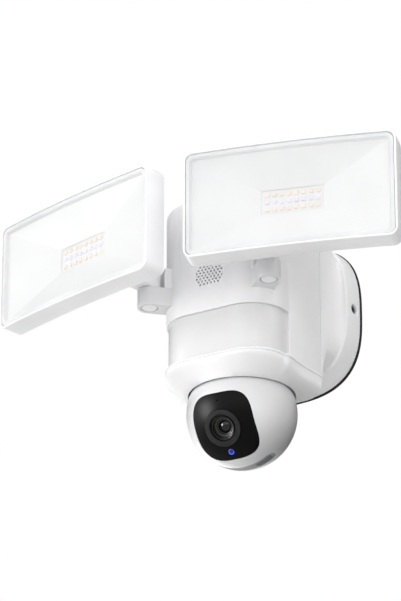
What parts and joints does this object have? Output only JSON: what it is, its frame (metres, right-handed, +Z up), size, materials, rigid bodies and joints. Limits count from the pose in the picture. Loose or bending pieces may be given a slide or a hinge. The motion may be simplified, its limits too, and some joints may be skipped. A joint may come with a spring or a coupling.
{
  "type": "floodlight security camera",
  "caption": "Wall-mounted security floodlight: hinged rectangular LED lamp heads on a D-shaped column with a motion-sensor window and a ball camera below that pans and tilts.",
  "frame": {"origin": "centre of the wall bracket's back face, on the wall", "axes": "+Z up, +Y into the wall, -Y the front, +X to the right as seen by someone who faces the front"},
  "size_m": [0.2916, 0.1648, 0.1762],
  "materials": {
    "white_plastic": "satin moulded",
    "window_plastic": "semi-gloss moulded, infrared clear",
    "clear_lens": "clear moulded",
    "reflector_white": "bright white moulded",
    "face_black": "polished",
    "barrel_black": "satin",
    "ring_grey": "satin moulded",
    "flap_rubber": "matte moulded",
    "seal_rubber": "closed-cell foam",
    "lens_glass": "coated glass",
    "light_blue": "light guide, lit",
    "circuit_board": "solder mask",
    "zinc_steel": "zinc plated",
    "led_aluminium": "plain, white coated",
    "black_steel": "black oxide",
    "acetal": "natural moulded"
  },
  "bodies": {
    "root": {"wall_bracket": "zinc_steel", "wall_seal": "seal_rubber", "base_cover": "white_plastic", "side_screw_right": "black_steel", "side_screw_left": "black_steel", "power_board": "circuit_board", "cable_grommet": "seal_rubber", "column_shell": "white_plastic", "chin_cover": "white_plastic", "sensor_window": "window_plastic", "sensor_board": "circuit_board", "motion_sensor_left": "zinc_steel", "motion_sensor_right": "zinc_steel", "speaker_mesh": "seal_rubber", "speaker_driver": "black_steel", "main_board": "circuit_board", "bearing_plate": "acetal", "pan_motor": "zinc_steel", "arm_right": "white_plastic", "pivot_pin_right": "zinc_steel", "pivot_cap_right": "white_plastic", "arm_left": "white_plastic", "pivot_pin_left": "zinc_steel", "pivot_cap_left": "white_plastic"},
    "pinion": {"pan_pinion": "acetal"},
    "pan_head": {"turntable": "acetal", "tilt_motor": "zinc_steel"},
    "camera_ball": {"ball_shell": "white_plastic", "ball_rear_cap": "white_plastic", "face_plate": "face_black", "lens_ring": "ring_grey", "lens_barrel": "barrel_black", "lens_glass": "lens_glass", "status_light": "light_blue", "image_board": "circuit_board", "card_reader": "zinc_steel", "tilt_axle": "zinc_steel"},
    "card_cover": {"card_flap": "flap_rubber"},
    "sync_key": {"sync_button": "acetal"},
    "knuckle_right": {"knuckle_right": "white_plastic", "tilt_pin_right": "zinc_steel"},
    "lamp_right": {"lamp_housing_right": "white_plastic", "lamp_lens_right": "clear_lens", "lamp_seal_right": "seal_rubber", "reflector_right": "reflector_white", "led_board_right": "led_aluminium"},
    "knuckle_left": {"knuckle_left": "white_plastic", "tilt_pin_left": "zinc_steel"},
    "lamp_left": {"lamp_housing_left": "white_plastic", "lamp_lens_left": "clear_lens", "lamp_seal_left": "seal_rubber", "reflector_left": "reflector_white", "led_board_left": "led_aluminium"}
  },
  "joints": [
    {"name": "lamp_yaw_right", "type": "hinge", "parent": "root", "child": "knuckle_right", "pos_m": [0.0439, -0.1087, 0], "axis": [0, 0, 1], "range_deg": [-13, 60]},
    {"name": "lamp_tilt_right", "type": "hinge", "parent": "knuckle_right", "child": "lamp_right", "pos_m": [0.04967, -0.12994, 0.0026], "axis": [0.965, 0.2622, 0], "range_deg": [-30, 45]},
    {"name": "lamp_yaw_left", "type": "hinge", "parent": "root", "child": "knuckle_left", "pos_m": [-0.0439, -0.1087, 0], "axis": [0, 0, 1], "range_deg": [-60, 13]},
    {"name": "lamp_tilt_left", "type": "hinge", "parent": "knuckle_left", "child": "lamp_left", "pos_m": [-0.04967, -0.12994, 0.0026], "axis": [0.965, -0.2622, 0], "range_deg": [-30, 45]},
    {"name": "camera_pan", "type": "hinge", "parent": "root", "child": "pan_head", "pos_m": [0, -0.0656, -0.0846], "axis": [0, 0, 1], "range_deg": [-172, 168]},
    {"name": "pinion_spin", "type": "hinge", "parent": "root", "child": "pinion", "pos_m": [0, -0.0356, -0.0417], "axis": [0, 0, 1], "range_deg": [-720, 720]},
    {"name": "camera_tilt", "type": "hinge", "parent": "pan_head", "child": "camera_ball", "pos_m": [0, -0.0656, -0.0846], "axis": [0.9994, 0.0349, 0], "range_deg": [-35, 25]},
    {"name": "flap_hinge", "type": "hinge", "parent": "camera_ball", "child": "card_cover", "pos_m": [-0.02064, -0.06204, -0.1132], "axis": [-0.0345, 0.9884, 0.1478], "range_deg": [0, 70]},
    {"name": "sync_press", "type": "slide", "parent": "camera_ball", "child": "sync_key", "axis": [0.0052, -0.1477, 0.989], "range_m": [0, 0.0004], "stiffness_N_per_m": 400, "springref_m": -0.0005}
  ],
  "couplings": [
    {"joint": "pinion_spin", "follows": "camera_pan", "ratio": -4}
  ]
}
